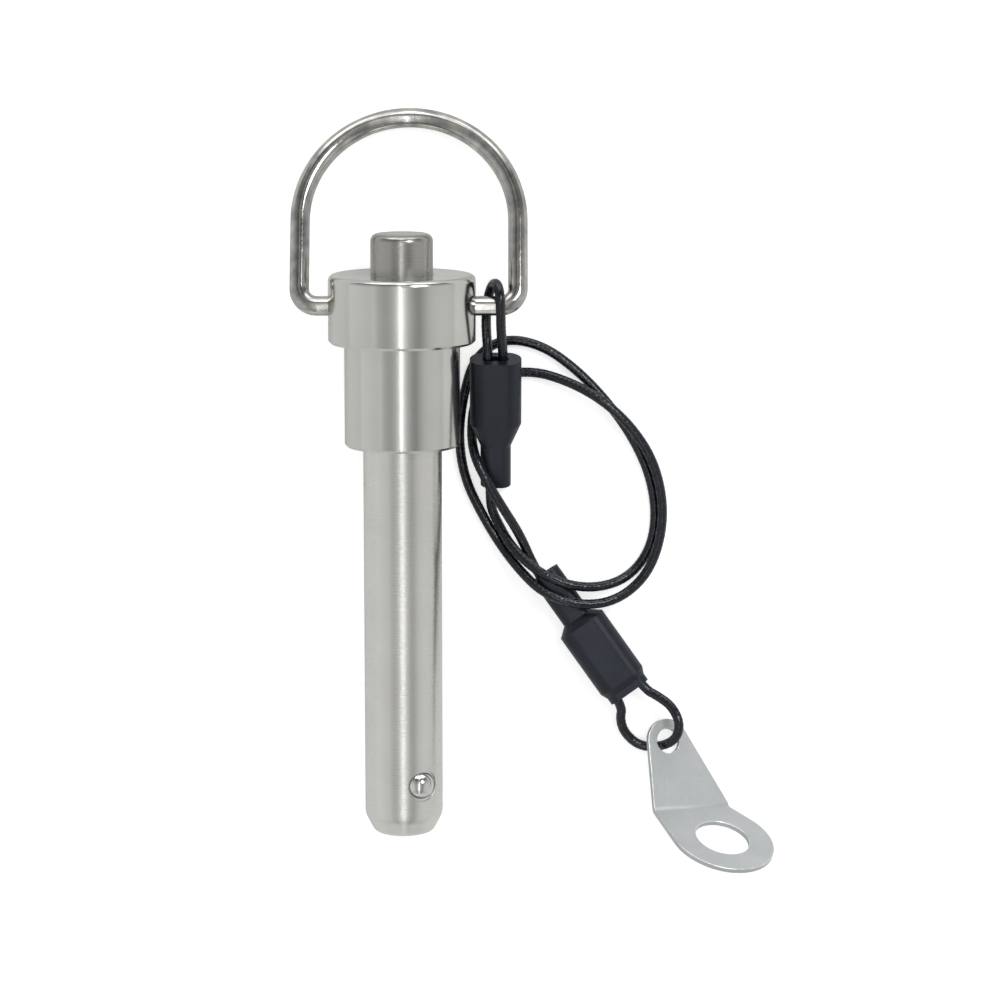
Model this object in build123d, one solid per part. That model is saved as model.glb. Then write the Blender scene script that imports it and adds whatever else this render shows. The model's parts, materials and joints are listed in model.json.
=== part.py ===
from build123d import *
import os
from math import asin, atan2, cos, degrees, hypot, pi, radians, sin, sqrt

# A push-button ball lock pin with a wire bail and a wire-rope lanyard that ends in a bent anchor tab.
# It lies on its side: the collar's lower rim and the nose rest on the floor, and the bail has dropped.
# The turned pieces are drawn upright first, axis on Z, shoulder at Z = 0, head above and tip below.

# ---- Shank ----
pin_diameter = 12.0
shank_length = 60.4  # shoulder to tip
ball_setback = 8.3  # tip to ball centre, which leaves a 50 mm grip
nose_length = 2.9
nose_cone_length = 1.9
nose_cone_inset = 1.0
nose_rounding = 1.3
nose_blend = 3.0  # rounds the shank over into the nose cone
shank_bore_diameter = 6.0
tip_wall = 1.9
spigot_diameter = 11.0
spigot_length = 10.0
seat_depth = 1.0  # the shank's full diameter goes this far into the head

# ---- Head: one turned piece, barrel below and collar above ----
barrel_diameter = 17.6
barrel_length = 15.8
collar_diameter = 22.4
collar_height = 10.4
collar_rounding = 0.9
rim_chamfer = 0.4
top_wall = 2.8
mouth_chamfer = 0.3

# ---- Button ----
button_diameter = 9.5
button_height = 6.2  # how far it stands proud of the collar
button_rounding = 1.1
button_clearance = 0.1
flange_overhang = 0.65
flange_thickness = 2.0
stem_diameter = 3.8
stem_depth = 5.0
press_travel = 4.4

# ---- Locking balls ----
ball_diameter = 4.5
ball_reach = 7.0  # pin axis to the ball's outermost point
ball_turn = 31.0  # degrees round the pin from the front
ball_clearance = 0.05
staked_ring_diameter = 5.0
staked_ring_depth = 0.2
ball_retraction = 1.1

# ---- Spindle ----
guide_clearance = 0.07
land_clearance = 0.15
land_lead = 0.2  # the land's edge past the ball centre, towards the head
land_length = 2.0
groove_length = 6.4
rod_diameter = 4.4
guide_length = 5.5

# ---- Return spring ----
spring_wire = 0.8
spring_diameter = 7.8  # to the wire's centre
spring_turns = 5.5

# ---- Bail ----
bail_wire = 3.0
bail_standoff = 5.4  # collar to each leg's centreline
bail_leg = 13.6  # pivot to the start of the round top
bail_corner = 2.7
bail_pivot_drop = 4.8  # below the collar's top
bail_foot_depth = 3.6  # inside the collar
bail_hole_clearance = 0.05
bail_side_play = 1.0

# ---- Lanyard ----
cable_diameter = 1.5
tail_spacing = 1.7  # between the two strands where they leave a sleeve's tail
bail_mouth_spacing = 2.3
tab_mouth_spacing = 4.4
ferrule_width = 6.7
ferrule_thickness = 3.4
ferrule_length = 9.6
sleeve_wall = 0.6
bail_sleeve_length = 21.4
tab_sleeve_length = 22.9
sleeve_narrow_width = 4.7
sleeve_narrow_thickness = 3.0
sleeve_wide_length = 10.8
bail_sleeve_taper = 3.8
tab_sleeve_taper = 1.3
cuff_width = 6.9
cuff_thickness = 3.0
cuff_length = 2.2  # only the tab end's sleeve has one
strand_clearance = 0.1
strand_bow = 0.05

# ---- Anchor tab ----
tab_thickness = 0.8
tab_hole = 8.5
tab_eye_radius = 8.2
tab_small_hole = 3.9
tab_small_radius = 3.5
tab_wing = 10.5  # small hole to bend
tab_reach = 8.0  # bend to large hole
tab_bend = 49.0
tab_bend_skew = -14.0
tab_bend_radius = 0.8
tab_roll = 30.0
tab_heading = 16.0

# Heights and radii that follow from the sizes above.
pin_radius = pin_diameter / 2
bore_radius = shank_bore_diameter / 2
collar_radius = collar_diameter / 2
head_length = barrel_length + collar_height
chamber_top = head_length - top_wall
chamber_radius = spigot_diameter / 2
button_radius = button_diameter / 2
button_top = head_length + button_height
flange_base = chamber_top - button_clearance / 2 - flange_thickness
ball_radius = ball_diameter / 2
ball_centre = ball_reach - ball_radius
ball_station = shank_length - ball_setback
nose_start = shank_length - nose_length
pivot_height = head_length - bail_pivot_drop
bail_half = collar_radius + bail_standoff
rim_height = barrel_length + rim_chamfer
tab_wide_end = tab_sleeve_length - cuff_length

# The nose's blend is an arc round this centre, tangent to the shank and to the cone.
nose_slope = atan2(nose_cone_inset, nose_cone_length)
blend_radial = pin_radius - nose_blend
blend_station = nose_start - nose_blend * sin(nose_slope / 2) / cos(nose_slope / 2)

# The pin leans on the collar's lower rim and on the nose's blend.
blend_from_rim = (collar_radius - blend_radial, rim_height + blend_station)
lean_angle = atan2(*blend_from_rim) - asin(nose_blend / hypot(*blend_from_rim))
lean = degrees(lean_angle)
shoulder_height = collar_radius * cos(radians(lean)) - rim_height * sin(radians(lean))
lying = Location((0, 0, shoulder_height), (lean - 90, 0, 0))


ball_turns = (ball_turn, ball_turn + 180)


def ball_place(turn):
    """Pin axis at the balls' height, with Z pointing out along the ball's own hole."""
    return Pos(0, 0, -ball_station) * Rot(0, 0, turn) * Rot(90, 0, 0)


def turned(points):
    """A solid turned about Z from a closed outline of (radius, height) points."""
    outline = Polyline(*[(r, 0, z) for r, z in points], close=True)
    return revolve(Face(Wire(outline.edges())), Axis.Z)


def stadium(width, thickness, height):
    """A rod of stadium section standing on the XY plane."""
    return extrude(SlotOverall(width, thickness).face(), height)


def make_head():
    barrel_radius = barrel_diameter / 2
    mouth = button_radius + button_clearance
    body = turned([
        (pin_radius, 0),
        (barrel_radius - rim_chamfer, 0),
        (barrel_radius, rim_chamfer),
        (barrel_radius, barrel_length),
        (collar_radius - rim_chamfer, barrel_length),
        (collar_radius, rim_height),
        (collar_radius, head_length),
        (mouth + mouth_chamfer, head_length),
        (mouth, head_length - mouth_chamfer),
        (mouth, chamber_top),
        (chamber_radius, chamber_top),
        (chamber_radius, seat_depth),
        (pin_radius, seat_depth),
    ])
    rim = body.edges().filter_by(GeomType.CIRCLE).filter_by(
        lambda e: abs(e.radius - collar_radius) < 1e-6 and abs(e.center().Z - head_length) < 1e-6
    )
    body = fillet(rim, collar_rounding)
    hole_radius = bail_wire / 2 + bail_hole_clearance
    hole_end = collar_radius - bail_foot_depth - bail_side_play - bail_hole_clearance
    drill = Rot(0, 90, 0) * Cylinder(hole_radius, collar_radius, align=(Align.CENTER, Align.CENTER, Align.MIN))
    for side in (1, -1):
        hole = Pos(side * hole_end, 0, pivot_height) * (drill if side > 0 else drill.mirror(Plane.YZ))
        body -= hole
    return body


def make_shank():
    nose_end = nose_start + nose_cone_length
    cone_radius = pin_radius - nose_cone_inset
    outline = [
        Line((bore_radius, 0, spigot_length), (chamber_radius, 0, spigot_length)),
        Line((chamber_radius, 0, spigot_length), (chamber_radius, 0, seat_depth)),
        Line((chamber_radius, 0, seat_depth), (pin_radius, 0, seat_depth)),
        Line((pin_radius, 0, seat_depth), (pin_radius, 0, -blend_station)),
    ]
    # The shank rounds over into the cone, and the cone into the flat tip.
    blend_start = (pin_radius, 0, -blend_station)
    blend_middle, blend_end = [
        (blend_radial + nose_blend * cos(turn), 0, -blend_station - nose_blend * sin(turn))
        for turn in (nose_slope / 2, nose_slope)
    ]
    outline += [
        ThreePointArc(blend_start, blend_middle, blend_end),
        Line(blend_end, (cone_radius, 0, -nose_end)),
    ]
    nose = FilletPolyline(
        (cone_radius, 0, -nose_end),
        (cone_radius - (shank_length - nose_end) * sin(nose_slope) / cos(nose_slope), 0, -shank_length),
        (0, 0, -shank_length),
        radius=nose_rounding,
    )
    bore_end = -shank_length + tip_wall
    outline += [
        nose,
        Line((0, 0, -shank_length), (0, 0, bore_end)),
        Line((0, 0, bore_end), (bore_radius, 0, bore_end)),
        Line((bore_radius, 0, bore_end), (bore_radius, 0, spigot_length)),
    ]
    edges = [e for piece in outline for e in piece.edges()]
    body = revolve(Face(Wire(edges)), Axis.Z)
    pocket_radius = ball_radius + ball_clearance
    pocket = Cylinder(pocket_radius, ball_centre, align=(Align.CENTER, Align.CENTER, Align.MIN))
    pocket += Pos(0, 0, ball_centre) * Sphere(pocket_radius)
    # Staking turns a thin lip over each ball at the foot of a shallow ring.
    ring = Cylinder(staked_ring_diameter / 2, ball_reach, align=(Align.CENTER, Align.CENTER, Align.MIN))
    core = Cylinder(pin_radius - staked_ring_depth, 4 * ball_diameter)
    for turn in ball_turns:
        place = ball_place(turn)
        body -= place * pocket
        body -= (place * ring) - Pos(0, 0, -ball_station) * core
    return body


def make_button():
    flange_radius = button_radius + flange_overhang
    body = turned([
        (0, flange_base),
        (flange_radius, flange_base),
        (flange_radius, flange_base + flange_thickness),
        (button_radius, flange_base + flange_thickness),
        (button_radius, button_top),
        (0, button_top),
    ])
    crown = body.edges().filter_by(GeomType.CIRCLE).filter_by(
        lambda e: abs(e.radius - button_radius) < 1e-6 and abs(e.center().Z - button_top) < 1e-6
    )
    body = fillet(crown, button_rounding)
    socket = Cylinder(stem_diameter / 2, stem_depth, align=(Align.CENTER, Align.CENTER, Align.MIN))
    return body - Pos(0, 0, flange_base) * socket


def make_spindle():
    guide = bore_radius - guide_clearance
    land = ball_centre - ball_radius - land_clearance
    rod = rod_diameter / 2
    groove = ball_centre - ball_retraction - ball_radius - ball_clearance
    ramp = land - groove
    edge = -ball_station + land_lead
    groove_top = edge + groove_length
    upper_guide = spigot_length - 1.0
    return turned([
        (0, edge - land_length),
        (land, edge - land_length),
        (land, edge),
        (groove, edge + ramp),
        (groove, groove_top),
        (guide, groove_top + guide - groove),
        (guide, groove_top + guide - groove + guide_length),
        (rod, groove_top + guide - groove + guide_length),
        (rod, upper_guide - guide_length),
        (guide, upper_guide - guide_length),
        (guide, upper_guide),
        (rod, upper_guide),
        (rod, flange_base),
        (stem_diameter / 2, flange_base),
        (stem_diameter / 2, flange_base + stem_depth),
        (0, flange_base + stem_depth),
    ])


def make_spring():
    """A compression spring with ground ends, between the spigot and the button's flange."""
    room = flange_base - spigot_length
    pitch = room / spring_turns
    coil_radius = spring_diameter / 2
    path = Helix(pitch, room, coil_radius)
    start = Plane(origin=path @ 0, z_dir=path % 0)
    wire = sweep(start * Circle(spring_wire / 2), path, is_frenet=True)
    slab = Cylinder(chamber_radius, room, align=(Align.CENTER, Align.CENTER, Align.MIN))
    return Pos(0, 0, spigot_length) * (wire & slab)


def make_ball(turn):
    return ball_place(turn) * Pos(0, 0, ball_centre) * Sphere(ball_radius)


def make_bail():
    """Bent wire in the XZ plane with its pivot on X, feet pointing inwards."""
    half = bail_half
    foot = collar_radius - bail_foot_depth
    leg_foot = half - bail_corner
    outline = Wire([
        Line((foot, 0, 0), (leg_foot, 0, 0)).edge(),
        ThreePointArc(
            (leg_foot, 0, 0),
            (leg_foot + bail_corner * sin(pi / 4), 0, bail_corner * (1 - cos(pi / 4))),
            (half, 0, bail_corner),
        ).edge(),
        Line((half, 0, bail_corner), (half, 0, bail_leg)).edge(),
        ThreePointArc((half, 0, bail_leg), (0, 0, bail_leg + half), (-half, 0, bail_leg)).edge(),
        Line((-half, 0, bail_leg), (-half, 0, bail_corner)).edge(),
        ThreePointArc(
            (-half, 0, bail_corner),
            (-leg_foot - bail_corner * sin(pi / 4), 0, bail_corner * (1 - cos(pi / 4))),
            (-leg_foot, 0, 0),
        ).edge(),
        Line((-leg_foot, 0, 0), (-foot, 0, 0)).edge(),
    ])
    section = Plane(origin=(foot, 0, 0), z_dir=(1, 0, 0)) * Circle(bail_wire / 2)
    return sweep(section, outline)


# The dropped bail touches the floor with its round top.
pivot = (lying * Pos(0, 0, pivot_height)).position
bail_length = bail_leg + bail_half
droop = degrees(asin((pivot.Z - bail_wire / 2) / bail_length))
bail_place = Pos(bail_side_play, pivot.Y, pivot.Z) * Rot(-90 - droop, 0, 0)

# ---- Lanyard route ----
# Measured from the floor under the bail's pivot: X to the right, Y towards the bail, Z up.
tail_lead = 1.6  # straight cable just outside the tail of a sleeve
mouth_lead = 1.2  # and just outside its mouth
dead_end = 0.6
bail_sleeve_tail = Vector(14.2, -28.0, 1.55)
bail_sleeve_axis = Vector(0, cos(radians(22)), sin(radians(22)))
tab_sleeve_tail = Vector(21.8, -41.8, ferrule_thickness / 2 + sleeve_wall)
tab_sleeve_axis = Vector(0.58, -0.815, 0).normalized()
floor = Vector(pivot.X, pivot.Y, 0)


def strand_points(tail, axis, side, length, mouth_spacing):
    """One strand through a sleeve, spreading to its mouth and bowed by a hair: side is 1 or -1 across it."""
    across = axis.cross(Vector(0, 0, 1)).normalized() * side
    bow = across.cross(axis).normalized() * (side * strand_bow)
    run = tail_lead + length + mouth_lead
    start = tail + across * (tail_spacing / 2) - axis * tail_lead
    step = (axis * run + across * (mouth_spacing - tail_spacing) / 2) / 3
    return [start, start + step + bow, start + step * 2 + bow, start + step * 3]


def sleeve_place(tail, axis):
    across = axis.cross(Vector(0, 0, 1)).normalized()
    return Plane(origin=floor + tail, x_dir=across, z_dir=axis)


bail_sleeve_place = sleeve_place(bail_sleeve_tail, bail_sleeve_axis)
tab_sleeve_place = sleeve_place(tab_sleeve_tail, tab_sleeve_axis)


def cable_points():
    bail_right = strand_points(bail_sleeve_tail, bail_sleeve_axis, 1, bail_sleeve_length, bail_mouth_spacing)
    bail_left = strand_points(bail_sleeve_tail, bail_sleeve_axis, -1, bail_sleeve_length, bail_mouth_spacing)
    tab_near = strand_points(tab_sleeve_tail, tab_sleeve_axis, 1, tab_sleeve_length, tab_mouth_spacing)
    tab_far = strand_points(tab_sleeve_tail, tab_sleeve_axis, -1, tab_sleeve_length, tab_mouth_spacing)
    # Each dead end stops inside the tail of its sleeve.
    bail_right[0] += bail_sleeve_axis * (tail_lead + dead_end)
    tab_far[0] += tab_sleeve_axis * (tail_lead + dead_end)
    return [
        *bail_right,
        # over the bail's foot and back under it
        Vector(15.0, -3.6, 12.4),
        Vector(15.0, 0.4, 14.4),
        Vector(14.6, 3.4, 13.0),
        Vector(13.7, 3.4, 10.2),
        Vector(12.9, 0.7, 8.6),
        Vector(12.7, -3.2, 8.8),
        *reversed(bail_left),
        # first turn: down, along the bottom, up the right side and over the top
        Vector(13.5, -31.9, 0.85),
        Vector(14.6, -34.2, 1.3),
        Vector(16.3, -37.2, 2.8),
        Vector(19.6, -40.6, 4.6),
        Vector(24.3, -43.2, 5.0),
        Vector(29.6, -44.1, 3.6),
        Vector(34.6, -42.8, 1.6),
        Vector(38.0, -38.9, 0.8),
        Vector(39.2, -33.6, 0.75),
        Vector(38.4, -27.4, 0.75),
        Vector(35.9, -21.5, 0.75),
        Vector(31.9, -15.7, 0.75),
        Vector(26.9, -10.4, 0.75),
        Vector(21.3, -6.4, 0.75),
        Vector(15.3, -5.4, 0.75),
        Vector(10.9, -8.4, 0.75),
        Vector(9.1, -14.6, 0.75),
        Vector(8.4, -21.0, 0.75),
        Vector(9.4, -27.3, 0.75),
        Vector(12.0, -32.7, 0.75),
        Vector(14.8, -37.4, 1.0),
        # second turn: it rides on the first along the right side and drops inside it at the top
        Vector(18.0, -41.4, 3.4),
        Vector(21.6, -44.7, 5.1),
        Vector(27.0, -46.6, 4.9),
        Vector(32.6, -46.2, 3.4),
        Vector(37.1, -42.9, 2.5),
        Vector(39.5, -37.9, 2.4),
        Vector(40.3, -31.6, 2.1),
        Vector(38.9, -24.9, 2.2),
        Vector(35.7, -19.6, 2.6),
        Vector(31.2, -15.2, 3.1),
        Vector(25.9, -12.2, 2.0),
        Vector(19.9, -10.4, 0.8),
        Vector(13.8, -11.3, 0.75),
        Vector(10.9, -15.2, 0.8),
        Vector(10.4, -19.6, 1.6),
        Vector(10.8, -23.2, 4.6),
        Vector(12.8, -27.3, 5.2),
        Vector(15.4, -31.6, 4.5),
        Vector(18.0, -35.9, 2.3),
        *tab_near,
        # under the tab, up through its small hole and back over the end
        Vector(33.6, -64.8, 1.7),
        Vector(34.3, -67.1, 1.0),
        Vector(36.6, -69.2, 0.8),
        Vector(39.6, -69.4, 0.95),
        Vector(42.1, -67.8, 4.4),
        Vector(42.9, -65.3, 4.7),
        Vector(41.7, -62.6, 3.7),
        Vector(39.4, -61.0, 2.9),
        *reversed(tab_far),
    ]


def corner_radii(points):
    """The largest arc that each corner has room for: 0.45 of its shorter run."""
    radii = []
    for before, here, after in zip(points, points[1:], points[2:]):
        turn = radians((here - before).get_angle(after - here))
        run = min((here - before).length, (after - here).length)
        radii.append(0.45 * run / (sin(turn / 2) / cos(turn / 2)))
    return radii


def make_cable():
    points = cable_points()
    radii = corner_radii(points)
    path = FilletPolyline(*[floor + p for p in points], radius=radii)
    start = Plane(origin=path @ 0, z_dir=path % 0)
    tube = sweep(start * Circle(cable_diameter / 2), path)
    section = pi * cable_diameter**2 / 4
    print("cable length", round(path.length, 2), "volume ratio", round(tube.volume / (section * path.length), 4))
    print("cable radii", [round(r, 1) for r in radii])
    return tube


def strand_slot(length, mouth_spacing):
    """The space for both strands through a sleeve and its ferrule, wider at the mouth."""
    height = cable_diameter + 2 * strand_clearance
    tail = SlotOverall(tail_spacing + height, height).face()
    mouth = SlotOverall(mouth_spacing + height, height).face()
    return loft([tail, Pos(0, 0, length) * mouth])


def ferrule_block(wide_end):
    """The oval block under the middle of a sleeve's wide part."""
    base = wide_end - (sleeve_wide_length + ferrule_length) / 2
    return Pos(0, 0, base) * stadium(ferrule_width, ferrule_thickness, ferrule_length)


def make_sleeve(wide_end, taper, slot, cuff=0):
    """Shrunk tubing: tail at Z = 0, a taper, the wide part over the ferrule and maybe a cuff."""
    wide = SlotOverall(ferrule_width + 2 * sleeve_wall, ferrule_thickness + 2 * sleeve_wall).face()
    narrow = SlotOverall(sleeve_narrow_width, sleeve_narrow_thickness).face()
    wide_start = wide_end - sleeve_wide_length
    body = extrude(narrow, wide_start - taper)
    body += loft([Pos(0, 0, wide_start - taper) * narrow, Pos(0, 0, wide_start) * wide])
    body += Pos(0, 0, wide_start) * extrude(wide, sleeve_wide_length)
    if cuff:
        cuff_start = wide_end + cuff / 2
        cuff_face = SlotOverall(cuff_width, cuff_thickness).face()
        body += loft([Pos(0, 0, wide_end) * wide, Pos(0, 0, cuff_start) * cuff_face])
        body += Pos(0, 0, cuff_start) * extrude(cuff_face, cuff / 2)
    return body - ferrule_block(wide_end) - slot


bail_slot = strand_slot(bail_sleeve_length, bail_mouth_spacing)
tab_slot = strand_slot(tab_sleeve_length, tab_mouth_spacing)


def tab_outline():
    """Two round ends joined by their tangents, small hole at the origin, large end towards -Y."""
    reach = tab_wing + tab_reach
    rise = (tab_eye_radius - tab_small_radius) / reach
    run = sqrt(1 - rise**2)
    small_right = (tab_small_radius * run, tab_small_radius * rise)
    small_left = (-small_right[0], small_right[1])
    eye_right = (tab_eye_radius * run, tab_eye_radius * rise - reach)
    eye_left = (-eye_right[0], eye_right[1])
    return Face(Wire([
        ThreePointArc(small_right, (0, tab_small_radius), small_left).edge(),
        Line(small_left, eye_left).edge(),
        ThreePointArc(eye_left, (0, -reach - tab_eye_radius), eye_right).edge(),
        Line(eye_right, small_right).edge(),
    ]))


def make_tab():
    """A stamped strip, folded up along a slightly skewed line, that lies on its right-hand edge."""
    plate = extrude(tab_outline(), tab_thickness)
    reach = tab_wing + tab_reach
    plate -= Cylinder(tab_small_hole / 2, 3 * tab_thickness)
    plate -= Pos(0, -reach, 0) * Cylinder(tab_hole / 2, 3 * tab_thickness)
    fold_dir = Vector(1, 0, 0).rotate(Axis.Z, tab_bend_skew)
    fold = Plane(origin=(0, -tab_wing, 0), x_dir=fold_dir, z_dir=(0, 0, 1))
    cutter = Box(6 * tab_eye_radius, 3 * reach, 3 * tab_thickness, align=(Align.CENTER, Align.MIN, Align.CENTER))
    wing = plate & (fold * cutter)
    eye = plate - (fold * cutter)
    axis = Axis((0, -tab_wing, tab_thickness + tab_bend_radius), fold.x_dir)
    seam = wing.faces().filter_by(Plane(origin=fold.origin, z_dir=fold.y_dir)).sort_by_distance(fold.origin)[0]
    bend = revolve(seam, axis, -tab_bend)
    return (wing + bend + eye.rotate(axis, -tab_bend)).clean()


# The tab stands on its right-hand lower edge, and its left side is up on the cable.
tab_rise = asin((tab_eye_radius - tab_small_radius) / (tab_wing + tab_reach))
tab_edge_line = Axis(
    (tab_small_radius * cos(tab_rise), tab_small_radius * sin(tab_rise), 0),
    (sin(tab_rise), -cos(tab_rise), 0),
)
tab_place = Pos(floor.X + 40.4, floor.Y - 68.6, 0) * Rot(0, 0, tab_heading)


def lay_tab(tab):
    return tab_place * tab.rotate(tab_edge_line, -tab_roll)


nodes = {
    "head": lying * make_head(),
    "shank": lying * make_shank(),
    "button": lying * make_button(),
    "spindle": lying * make_spindle(),
    "return_spring": lying * make_spring(),
    "ball_right": lying * make_ball(ball_turns[0]),
    "ball_left": lying * make_ball(ball_turns[1]),
    "bail": bail_place * make_bail(),
    "lanyard_cable": make_cable(),
    "bail_end_ferrule": bail_sleeve_place * (ferrule_block(bail_sleeve_length) - bail_slot),
    "bail_end_sleeve": bail_sleeve_place * make_sleeve(bail_sleeve_length, bail_sleeve_taper, bail_slot),
    "tab_end_ferrule": tab_sleeve_place * (ferrule_block(tab_wide_end) - tab_slot),
    "tab_end_sleeve": tab_sleeve_place * make_sleeve(tab_wide_end, tab_sleeve_taper, tab_slot, cuff_length),
    "anchor_tab": lay_tab(make_tab()),
}
lanyard = ("lanyard_cable", "bail_end_ferrule", "bail_end_sleeve", "tab_end_ferrule", "tab_end_sleeve", "anchor_tab")

# The origin is on the floor at the middle of the pin and bail.
box = Compound([shape for name, shape in nodes.items() if name not in lanyard]).bounding_box()
to_origin = Pos(-(box.min.X + box.max.X) / 2, -(box.min.Y + box.max.Y) / 2, 0)

os.makedirs("parts", exist_ok=True)
for name, shape in nodes.items():
    export_step(to_origin * shape, f"parts/{name}.step")
print("lean", round(lean, 3), "droop", round(droop, 3), "pivot", to_origin * Pos(*pivot))
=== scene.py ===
import bmesh
import bpy
import json
from math import atan2, ceil, cos, pi, radians, sin
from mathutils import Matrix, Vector


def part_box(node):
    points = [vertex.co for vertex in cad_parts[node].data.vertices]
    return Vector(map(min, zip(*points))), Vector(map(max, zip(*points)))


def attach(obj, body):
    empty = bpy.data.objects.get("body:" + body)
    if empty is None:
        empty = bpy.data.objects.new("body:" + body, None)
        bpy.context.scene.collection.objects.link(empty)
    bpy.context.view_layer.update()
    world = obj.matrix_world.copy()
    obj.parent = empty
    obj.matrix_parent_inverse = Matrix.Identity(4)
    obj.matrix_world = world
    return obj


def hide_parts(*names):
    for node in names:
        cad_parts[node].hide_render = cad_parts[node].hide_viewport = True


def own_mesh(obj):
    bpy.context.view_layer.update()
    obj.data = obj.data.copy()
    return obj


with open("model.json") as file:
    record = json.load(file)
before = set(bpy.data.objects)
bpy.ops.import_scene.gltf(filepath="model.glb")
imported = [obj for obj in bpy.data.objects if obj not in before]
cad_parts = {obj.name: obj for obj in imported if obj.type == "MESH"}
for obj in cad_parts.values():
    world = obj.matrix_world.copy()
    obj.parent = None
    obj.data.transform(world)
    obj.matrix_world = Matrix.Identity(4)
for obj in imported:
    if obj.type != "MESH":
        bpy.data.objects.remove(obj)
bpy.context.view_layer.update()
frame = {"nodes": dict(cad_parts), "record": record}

MM = 0.001
nodes = frame["nodes"]
joints = {joint["name"]: joint for joint in frame["record"]["behaviour"]["joints"]}
bail_hinge = joints["bail_swing"]
press = joints["button_press"]
pin_axis = -Vector(press["axis"])  # from the tip towards the button
pin_x = (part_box("shank")[0][0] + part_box("shank")[1][0]) / 2

# The lanyard's points are measured from the floor under the bail's pivot, on the pin's centreline.
anchor = Vector((pin_x, bail_hinge["pos_m"][1], 0))


def at(x, y, z):
    """A point given in millimetres from the anchor."""
    return anchor + Vector((x, y, z)) * MM


# ---- Camera: high above the head, looking down and a little towards the tip ----
camera_place = (14.87, 21.27, 542.3)
camera_lean = radians(-5.47)

camera_data = bpy.data.cameras.new("camera")
camera_data.sensor_width = 36
camera_data.lens = 126
camera = bpy.data.objects.new("camera", camera_data)
camera.location = at(*camera_place)
camera.rotation_euler = (camera_lean, 0, 0)
bpy.context.scene.collection.objects.link(camera)
bpy.context.scene.camera = camera


# ---- Lanyard route ----
cable_diameter = 1.5 * MM
# How the strands run inside the two sleeves, in millimetres, as the route's points are.
tail_spacing = 1.7
bail_mouth_spacing = 2.3
tab_mouth_spacing = 4.4
bail_sleeve_length = 21.4
tab_sleeve_length = 22.9
tail_lead = 1.6
mouth_lead = 1.2
dead_end = 0.6
strand_bow = 0.05
bail_sleeve_tail = Vector((14.2, -28.0, 1.55))
bail_sleeve_rise = radians(22)
bail_sleeve_axis = Vector((0, cos(bail_sleeve_rise), sin(bail_sleeve_rise)))
tab_sleeve_tail = Vector((21.8, -41.8, 2.3))
tab_sleeve_axis = Vector((0.58, -0.815, 0)).normalized()


def strand_points(tail, axis, side, length, mouth_spacing):
    """One strand through a sleeve, spreading to its mouth and bowed by a hair: side is 1 or -1 across it."""
    across = axis.cross(Vector((0, 0, 1))).normalized() * side
    bow = across.cross(axis).normalized() * (side * strand_bow)
    run = tail_lead + length + mouth_lead
    start = tail + across * (tail_spacing / 2) - axis * tail_lead
    step = (axis * run + across * (mouth_spacing - tail_spacing) / 2) / 3
    return [start, start + step + bow, start + step * 2 + bow, start + step * 3]


def lanyard_route():
    """The cable's control points, from the dead end in the bail's sleeve to the one in the tab's sleeve."""
    bail_right = strand_points(bail_sleeve_tail, bail_sleeve_axis, 1, bail_sleeve_length, bail_mouth_spacing)
    bail_left = strand_points(bail_sleeve_tail, bail_sleeve_axis, -1, bail_sleeve_length, bail_mouth_spacing)
    tab_near = strand_points(tab_sleeve_tail, tab_sleeve_axis, 1, tab_sleeve_length, tab_mouth_spacing)
    tab_far = strand_points(tab_sleeve_tail, tab_sleeve_axis, -1, tab_sleeve_length, tab_mouth_spacing)
    bail_right[0] += bail_sleeve_axis * (tail_lead + dead_end)
    tab_far[0] += tab_sleeve_axis * (tail_lead + dead_end)
    points = [
        *bail_right,
        # over the bail's foot and back under it
        (15.0, -3.6, 12.4), (15.0, 0.4, 14.4), (14.6, 3.4, 13.0),
        (13.7, 3.4, 10.2), (12.9, 0.7, 8.6), (12.7, -3.2, 8.8),
        *reversed(bail_left),
        # first turn: down, along the bottom, up the right side and over the top
        (13.5, -31.9, 0.85), (14.6, -34.2, 1.3), (16.3, -37.2, 2.8), (19.6, -40.6, 4.6), (24.3, -43.2, 5.0),
        (29.6, -44.1, 3.6), (34.6, -42.8, 1.6), (38.0, -38.9, 0.8), (39.2, -33.6, 0.75), (38.4, -27.4, 0.75),
        (35.9, -21.5, 0.75), (31.9, -15.7, 0.75), (26.9, -10.4, 0.75), (21.3, -6.4, 0.75), (15.3, -5.4, 0.75),
        (10.9, -8.4, 0.75), (9.1, -14.6, 0.75), (8.4, -21.0, 0.75), (9.4, -27.3, 0.75), (12.0, -32.7, 0.75),
        (14.8, -37.4, 1.0),
        # second turn: it rides on the first along the right side and drops inside it at the top
        (18.0, -41.4, 3.4), (21.6, -44.7, 5.1), (27.0, -46.6, 4.9), (32.6, -46.2, 3.4), (37.1, -42.9, 2.5),
        (39.5, -37.9, 2.4), (40.3, -31.6, 2.1), (38.9, -24.9, 2.2), (35.7, -19.6, 2.6), (31.2, -15.2, 3.1),
        (25.9, -12.2, 2.0), (19.9, -10.4, 0.8), (13.8, -11.3, 0.75), (10.9, -15.2, 0.8), (10.4, -19.6, 1.6),
        (10.8, -23.2, 4.6), (12.8, -27.3, 5.2), (15.4, -31.6, 4.5), (18.0, -35.9, 2.3),
        *tab_near,
        # under the tab, up through its small hole and back over the end
        (33.6, -64.8, 1.7), (34.3, -67.1, 1.0), (36.6, -69.2, 0.8), (39.6, -69.4, 0.95),
        (42.1, -67.8, 4.4), (42.9, -65.3, 4.7), (41.7, -62.6, 3.7), (39.4, -61.0, 2.9),
        *reversed(tab_far),
    ]
    return [at(*p) for p in points]


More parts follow.
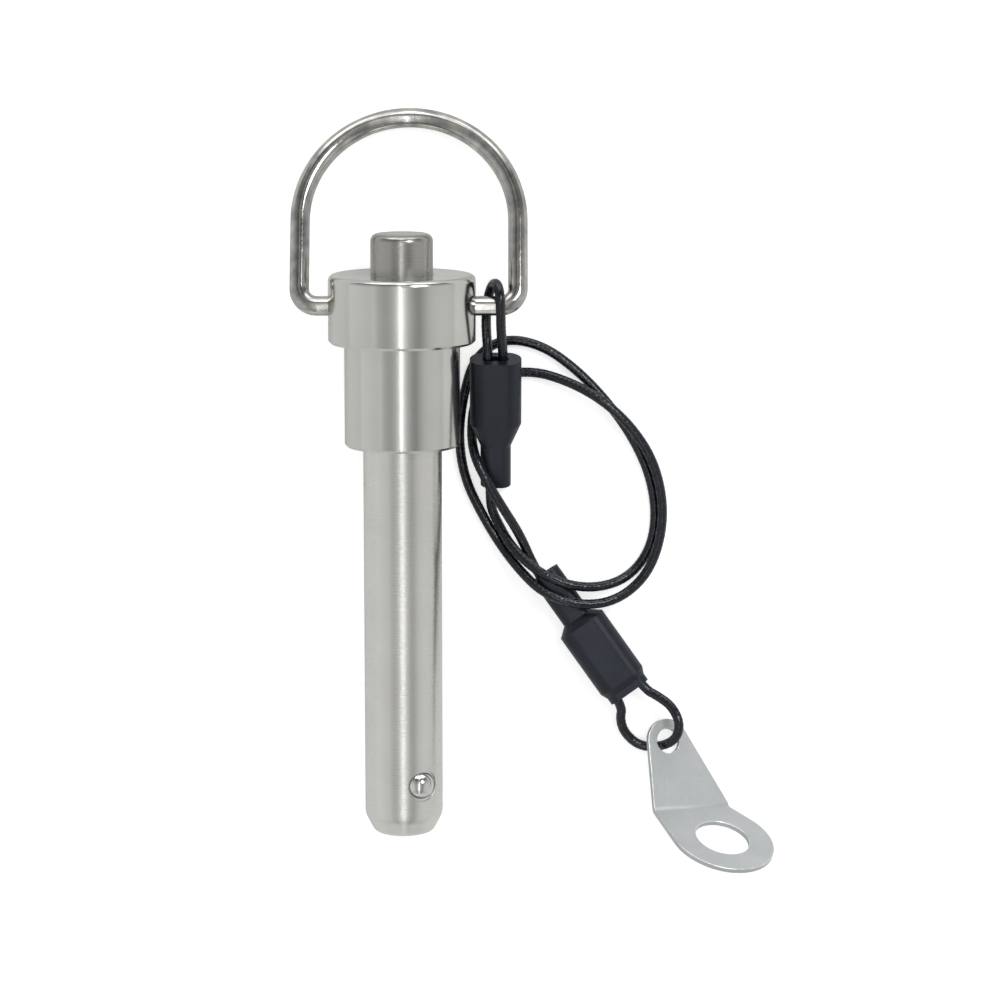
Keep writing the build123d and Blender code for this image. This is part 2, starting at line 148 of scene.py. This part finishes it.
def spline_line(points, resolution):
    """Places along the smooth spline that has the points as its control points."""
    curve = bpy.data.curves.new("route", "CURVE")
    curve.dimensions = "3D"
    curve.resolution_u = resolution
    spline = curve.splines.new("NURBS")
    spline.points.add(len(points) - 1)
    for point, place in zip(spline.points, points):
        point.co = (*place, 1)
    spline.order_u = 3
    spline.use_endpoint_u = True
    holder = bpy.data.objects.new("route", curve)
    bpy.context.scene.collection.objects.link(holder)
    mesh = bpy.data.meshes.new_from_object(holder.evaluated_get(bpy.context.evaluated_depsgraph_get()))
    line = [v.co.copy() for v in mesh.vertices]
    bpy.data.objects.remove(holder)
    bpy.data.meshes.remove(mesh)
    return line


def even_steps(line, step):
    """The same line with its points an even distance apart."""
    lengths = [0]
    for before, here in zip(line, line[1:]):
        lengths.append(lengths[-1] + (here - before).length)
    count = ceil(lengths[-1] / step)
    result = []
    index = 0
    for i in range(count + 1):
        wanted = lengths[-1] * i / count
        while index < len(line) - 2 and lengths[index + 1] < wanted:
            index += 1
        span = lengths[index + 1] - lengths[index]
        share = (wanted - lengths[index]) / span if span else 0
        result.append(line[index].lerp(line[index + 1], share))
    return result, lengths[-1]


def rope_mesh(name, line, radius, strands=9, lay=6.6 * MM, sides=36, groove=0.22):
    """A coated wire rope: a tube whose strands show as shallow ridges, twisting once round it in each lay."""
    mesh = bpy.data.meshes.new(name)
    work = bmesh.new()
    last = len(line) - 1
    side = (line[1] - line[0]).orthogonal().normalized()
    rings = []
    travelled = 0
    for i, centre in enumerate(line):
        ahead = (line[min(i + 1, last)] - line[max(i - 1, 0)]).normalized()
        side = (side - ahead * side.dot(ahead)).normalized()
        other = ahead.cross(side)
        if i:
            travelled += (centre - line[i - 1]).length
        twist = 2 * pi * travelled / lay
        ring = []
        for k in range(sides):
            angle = 2 * pi * k / sides
            ridge = abs(sin((angle + twist) * strands / 2))
            reach = radius * (1 - groove * (1 - ridge) ** 2)
            ring.append(work.verts.new(centre + (side * cos(angle) + other * sin(angle)) * reach))
        rings.append(ring)
    for before, here in zip(rings, rings[1:]):
        for k in range(sides):
            work.faces.new((before[k], before[(k + 1) % sides], here[(k + 1) % sides], here[k]))
    work.faces.new(list(reversed(rings[0])))
    work.faces.new(rings[-1])
    for face in work.faces:
        face.smooth = True
    work.to_mesh(mesh)
    work.free()
    rope = bpy.data.objects.new(name, mesh)
    bpy.context.scene.collection.objects.link(rope)
    return rope


spline_resolution = 24
ring_step = 0.22 * MM
cable_line, cable_length = even_steps(spline_line(lanyard_route(), spline_resolution), ring_step)
cable = rope_mesh("coated_cable", cable_line, cable_diameter / 2)
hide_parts("lanyard_cable")
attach(cable, "pin")


# ---- Materials ----
# A noise runs from 0 to 1, and mostly keeps between these two.
NOISE_LOW = 0.3
NOISE_HIGH = 0.7


def new_material(name, color, metallic, roughness):
    """A material with its node tree and its Principled shader."""
    material = bpy.data.materials.new(name)
    material.use_nodes = True
    shader = material.node_tree.nodes["Principled BSDF"]
    shader.inputs["Base Color"].default_value = (*color, 1)
    shader.inputs["Metallic"].default_value = metallic
    shader.inputs["Roughness"].default_value = roughness
    return material, material.node_tree, shader


def noise(tree, scale, stretch=(1, 1, 1), detail=3, turn=0):
    """Noise over the part's own coordinates, stretched along its own axes after a turn about X."""
    place = tree.nodes.new("ShaderNodeTexCoord")
    mapping = tree.nodes.new("ShaderNodeMapping")
    mapping.inputs["Rotation"].default_value = (turn, 0, 0)
    mapping.inputs["Scale"].default_value = stretch
    texture = tree.nodes.new("ShaderNodeTexNoise")
    texture.inputs["Scale"].default_value = scale
    texture.inputs["Detail"].default_value = detail
    tree.links.new(place.outputs["Object"], mapping.inputs["Vector"])
    tree.links.new(mapping.outputs["Vector"], texture.inputs["Vector"])
    return texture.outputs["Fac"]


def vary_roughness(tree, value, shader, low, high):
    """The roughness runs from low to high over the noise's usual range."""
    node = tree.nodes.new("ShaderNodeMapRange")
    node.inputs["From Min"].default_value = NOISE_LOW
    node.inputs["From Max"].default_value = NOISE_HIGH
    node.inputs["To Min"].default_value = low
    node.inputs["To Max"].default_value = high
    tree.links.new(value, node.inputs["Value"])
    tree.links.new(node.outputs["Result"], shader.inputs["Roughness"])


def tint(tree, value, shader, low, high):
    """The base colour runs from low to high over the noise's usual range."""
    ramp = tree.nodes.new("ShaderNodeValToRGB")
    ramp.color_ramp.elements[0].position = NOISE_LOW
    ramp.color_ramp.elements[1].position = NOISE_HIGH
    ramp.color_ramp.elements[0].color = (*low, 1)
    ramp.color_ramp.elements[1].color = (*high, 1)
    tree.links.new(value, ramp.inputs["Fac"])
    tree.links.new(ramp.outputs["Color"], shader.inputs["Base Color"])


def bump(tree, value, shader, strength, distance):
    """Relief of that depth, as the value says."""
    node = tree.nodes.new("ShaderNodeBump")
    node.inputs["Strength"].default_value = strength
    node.inputs["Distance"].default_value = distance
    tree.links.new(value, node.inputs["Height"])
    tree.links.new(node.outputs["Normal"], shader.inputs["Normal"])


pin_lean = atan2(pin_axis.z, pin_axis.y)
# The lines left by turning: very close along the pin and long round it.
turned_lines = (60, 9000, 60)


def shades(color, low, high):
    """The colour times low and times high, neither past white."""
    return [c * low for c in color], [min(1, c * high) for c in color]


def turned_steel(name, color, roughness, line_depth, uneven=0.04):
    """Stainless steel with fine lines round the pin's axis, left by turning or grinding."""
    material, tree, shader = new_material(name, color, 1, roughness)
    lines = noise(tree, 1, turned_lines, 4, -pin_lean)
    clouds = noise(tree, 90)
    tint(tree, clouds, shader, *shades(color, 0.95, 1.04))
    vary_roughness(tree, lines, shader, roughness - uneven, roughness + uneven)
    bump(tree, lines, shader, 0.25, line_depth)
    return material


def wire_steel(name, color, roughness, dull_and_painted_reflection=(0.93, 0.93, 0.93)):
    """Polished metal with small marks, and patches duller than its colour by the shares given; on the bail
    these dull bluish patches are painted dark reflections.
    """
    material, tree, shader = new_material(name, color, 1, roughness)
    marks = noise(tree, 1400, detail=4)
    clouds = noise(tree, 420, detail=4)
    # Duller patches over the noise: tone that varies at random, and on the bail a painted dark reflection.
    tint(tree, clouds, shader, [c * d for c, d in zip(color, dull_and_painted_reflection)], color)
    vary_roughness(tree, marks, shader, roughness - 0.04, roughness + 0.08)
    bump(tree, marks, shader, 0.15, 0.02 * MM)
    return material


def tab_steel():
    """Satin stamped sheet with a fine grain."""
    color = (0.60, 0.62, 0.628)
    material, tree, shader = new_material("tab_satin_steel", color, 1, 0.66)
    grain = noise(tree, 2600, detail=5)
    clouds = noise(tree, 120)
    tint(tree, clouds, shader, *shades(color, 0.94, 1.05))
    vary_roughness(tree, grain, shader, 0.6, 0.72)
    bump(tree, grain, shader, 0.3, 0.02 * MM)
    return material


def cable_coating():
    """Glossy black coating, drawn tight over the rope's strands."""
    material, tree, shader = new_material("black_cable_coating", (0.008, 0.009, 0.014), 0, 0.14)
    specks = noise(tree, 1800, detail=4)
    tint(tree, noise(tree, 200), shader, (0.003, 0.0035, 0.006), (0.006, 0.007, 0.011))
    vary_roughness(tree, specks, shader, 0.1, 0.22)
    bump(tree, specks, shader, 0.2, 0.02 * MM)
    shader.inputs["Specular IOR Level"].default_value = 0.3
    shader.inputs["Specular Tint"].default_value = (0.75, 0.86, 1, 1)
    shader.inputs["Coat Weight"].default_value = 0.55
    shader.inputs["Coat Roughness"].default_value = 0.06
    return material


def shrink_tubing():
    """Satin black tubing, slightly blue, with a fine skin."""
    material, tree, shader = new_material("black_shrink_tubing", (0.010, 0.011, 0.016), 0, 0.4)
    grain = noise(tree, 900, detail=5)
    tint(tree, noise(tree, 160), shader, (0.006, 0.007, 0.011), (0.012, 0.013, 0.019))
    vary_roughness(tree, grain, shader, 0.32, 0.44)
    bump(tree, grain, shader, 0.35, 0.04 * MM)
    shader.inputs["Specular IOR Level"].default_value = 0.5
    shader.inputs["Specular Tint"].default_value = (0.8, 0.88, 1, 1)
    return material


def bevel_edges_with_painted_highlight(sheet, highlight_metal):
    """The sheet's sheared edges, rounded by a narrow bevel in a near-white metal that paints a bright
    highlight along them.
    """
    sheet.data.materials.append(highlight_metal)
    # The solid's faces come in apart, and a bevel needs them joined.
    seams = sheet.modifiers.new("joined_seams", "WELD")
    seams.merge_threshold = 0.01 * MM
    edge_highlight_bevel = sheet.modifiers.new("edge_highlight_bevel", "BEVEL")
    edge_highlight_bevel.width = 0.28 * MM
    edge_highlight_bevel.segments = 2
    edge_highlight_bevel.limit_method = "ANGLE"
    edge_highlight_bevel.angle_limit = radians(20)
    # The bevel's near-white metal is a painted highlight along the edges.
    edge_highlight_bevel.material = 1
    edge_highlight_bevel.harden_normals = True


def dress(material, *names):
    """Puts the material alone on each node named."""
    for name in names:
        node = nodes[name]
        node.data.materials.clear()
        node.data.materials.append(material)


dress(turned_steel("turned_steel", (0.62, 0.62, 0.585), 0.17, 0.005 * MM), "head", "spindle")
dress(turned_steel("button_steel", (0.375, 0.37, 0.345), 0.24, 0.002 * MM), "button")
dress(turned_steel("ground_steel", (0.70, 0.695, 0.66), 0.28, 0.002 * MM, 0.012), "shank")
# The bail's bluish dull patches are painted reflection: they stand in for the dark lanyard and surroundings
# mirrored in the wire.
dress(wire_steel("bail_wire_steel", (0.60, 0.585, 0.53), 0.11, (0.48, 0.5, 0.57)), "bail")
dress(wire_steel("ball_steel", (0.72, 0.72, 0.70), 0.06), "ball_right", "ball_left")
dress(wire_steel("spring_steel", (0.5, 0.5, 0.5), 0.3), "return_spring")
dress(wire_steel("crimped_metal", (0.6, 0.6, 0.6), 0.35), "bail_end_ferrule", "tab_end_ferrule")
dress(tab_steel(), "anchor_tab")
# Near-white edge metal on the tab: a painted highlight along its sheared edges.
bevel_edges_with_painted_highlight(nodes["anchor_tab"], wire_steel("sheared_edge_highlight_steel", (0.97, 0.965, 0.94), 0.25))
dress(shrink_tubing(), "bail_end_sleeve", "tab_end_sleeve")
cable.data.materials.append(cable_coating())


# ---- The return spring: a copy of its mesh, carried with the pin ----
spring = bpy.data.objects.new("coiled_spring", nodes["return_spring"].data.copy())
spring.matrix_world = nodes["return_spring"].matrix_world.copy()
bpy.context.scene.collection.objects.link(spring)
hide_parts("return_spring")
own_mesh(spring)
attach(spring, "pin")


# ---- Floor and light ----
floor_half = 3.0
# How much the floor glows by itself where the camera sees it, and where the metal mirrors it.
floor_seen = 0.62
floor_mirrored = 0.1


def make_floor():
    """A pale floor that stays near white to the camera without lighting the metal from below."""
    mesh = bpy.data.meshes.new("floor")
    corners = [(x * floor_half, y * floor_half, 0) for x, y in ((-1, -1), (1, -1), (1, 1), (-1, 1))]
    mesh.from_pydata(corners, [], [(0, 1, 2, 3)])
    floor = bpy.data.objects.new("floor", mesh)
    bpy.context.scene.collection.objects.link(floor)
    material = bpy.data.materials.new("pale_floor")
    material.use_nodes = True
    tree = material.node_tree
    output = tree.nodes["Material Output"]
    diffuse = tree.nodes.new("ShaderNodeBsdfDiffuse")
    diffuse.inputs["Color"].default_value = (0.8, 0.8, 0.8, 1)
    glow = tree.nodes.new("ShaderNodeEmission")
    glow.inputs["Color"].default_value = (1, 1, 1, 1)
    path = tree.nodes.new("ShaderNodeLightPath")
    seen = tree.nodes.new("ShaderNodeMath")
    seen.operation = "MULTIPLY_ADD"
    seen.inputs[1].default_value = floor_seen
    mirrored = tree.nodes.new("ShaderNodeMath")
    mirrored.operation = "MULTIPLY"
    mirrored.inputs[1].default_value = floor_mirrored
    add = tree.nodes.new("ShaderNodeAddShader")
    tree.links.new(path.outputs["Is Glossy Ray"], mirrored.inputs[0])
    tree.links.new(path.outputs["Is Camera Ray"], seen.inputs[0])
    tree.links.new(mirrored.outputs[0], seen.inputs[2])
    tree.links.new(seen.outputs[0], glow.inputs["Strength"])
    tree.links.new(diffuse.outputs[0], add.inputs[0])
    tree.links.new(glow.outputs[0], add.inputs[1])
    tree.links.new(add.outputs[0], output.inputs["Surface"])
    floor.data.materials.append(material)


# The studio's brightness by degrees from straight up: first to the left and the right,
side_levels = [
    (-90, 0.82), (-60, 0.72), (-50, 0.68), (-43, 0.76), (-36, 0.54), (-24, 0.43), (-14, 0.5),
    (-8, 0.68), (-4, 1.0), (0, 1.5), (3, 1.25), (8, 0.72), (14, 0.52), (24, 0.34), (30, 0.32),
    (37, 0.48), (47, 0.64), (60, 0.7), (75, 0.72), (90, 0.66),
]
# then towards the tip and towards the head, where a bright band stands behind a dark one.
end_levels = [
    (-90, 1.3), (-78, 1.25), (-66, 0.95), (-52, 0.76), (-42, 0.95), (-28, 1.0), (-17, 1.05), (-8, 1.0),
    (2, 1.0), (14, 0.8), (26, 0.7), (33, 0.42), (40, 0.32), (47, 0.36), (52, 1.0), (58, 3.4), (74, 3.4),
    (90, 1.3),
]
side_peak = max(level for _, level in side_levels)
end_peak = max(level for _, level in end_levels)


def level_ramp(tree, value, stops, peak):
    """Brightness along a 0 to 1 value, as a share of the peak."""
    ramp = tree.nodes.new("ShaderNodeValToRGB")
    elements = ramp.color_ramp.elements
    while len(elements) < len(stops):
        elements.new(0.5)
    for element, (position, level) in zip(elements, stops):
        element.position = position
        element.color = (level / peak, level / peak, level / peak, 1)
    tree.links.new(value, ramp.inputs["Fac"])
    return ramp.outputs["Color"]


def make_world():
    """A studio for bright metal: one soft white strip overhead between two dimmer ones, and pale sides."""
    world = bpy.data.worlds.new("studio")
    bpy.context.scene.world = world
    world.use_nodes = True
    tree = world.node_tree
    background = tree.nodes["Background"]
    place = tree.nodes.new("ShaderNodeTexCoord")
    split = tree.nodes.new("ShaderNodeSeparateXYZ")
    turn = tree.nodes.new("ShaderNodeMath")
    turn.operation = "ARCTAN2"
    across = tree.nodes.new("ShaderNodeMapRange")
    across.inputs["From Min"].default_value = -pi / 2
    across.inputs["From Max"].default_value = pi / 2
    along = tree.nodes.new("ShaderNodeMapRange")
    along.inputs["From Min"].default_value = -1
    tree.links.new(place.outputs["Generated"], split.inputs[0])
    tree.links.new(split.outputs["X"], turn.inputs[0])
    tree.links.new(split.outputs["Z"], turn.inputs[1])
    tree.links.new(turn.outputs[0], across.inputs["Value"])
    tree.links.new(split.outputs["Y"], along.inputs["Value"])
    side_stops = [((angle + 90) / 180, level) for angle, level in side_levels]
    end_stops = [(sin(radians(angle)) / 2 + 0.5, level) for angle, level in end_levels]
    side_light = level_ramp(tree, across.outputs["Result"], side_stops, side_peak)
    end_light = level_ramp(tree, along.outputs["Result"], end_stops, end_peak)
    both = tree.nodes.new("ShaderNodeVectorMath")
    both.operation = "MULTIPLY"
    tree.links.new(side_light, both.inputs[0])
    tree.links.new(end_light, both.inputs[1])
    tree.links.new(both.outputs["Vector"], background.inputs["Color"])
    background.inputs["Strength"].default_value = side_peak * end_peak


def softbox(name, place, size, power, aim=(0, 0, 0)):
    """A rectangular lamp: its place, size and aim in metres from the scene's middle, its power in watts."""
    data = bpy.data.lights.new(name, "AREA")
    data.shape = "RECTANGLE"
    data.size, data.size_y = size
    data.energy = power
    lamp = bpy.data.objects.new(name, data)
    lamp.location = place
    lamp.rotation_euler = (Vector(aim) - Vector(place)).to_track_quat("-Z", "Y").to_euler()
    bpy.context.scene.collection.objects.link(lamp)


make_floor()
make_world()
# One narrow strip overhead, in line with the pin.
softbox("overhead_strip", (-0.006, -0.2, 0.6), (0.006, 0.9), 0.16, (-0.006, -0.2, 0))
# A box from the head end's right, off the pin's line, for the lanyard, the tab and the rounded edges.
softbox("right_box", (0.34, 0.3, 0.6), (0.25, 0.25), 1.4)

bpy.context.scene.view_settings.view_transform = "Standard"
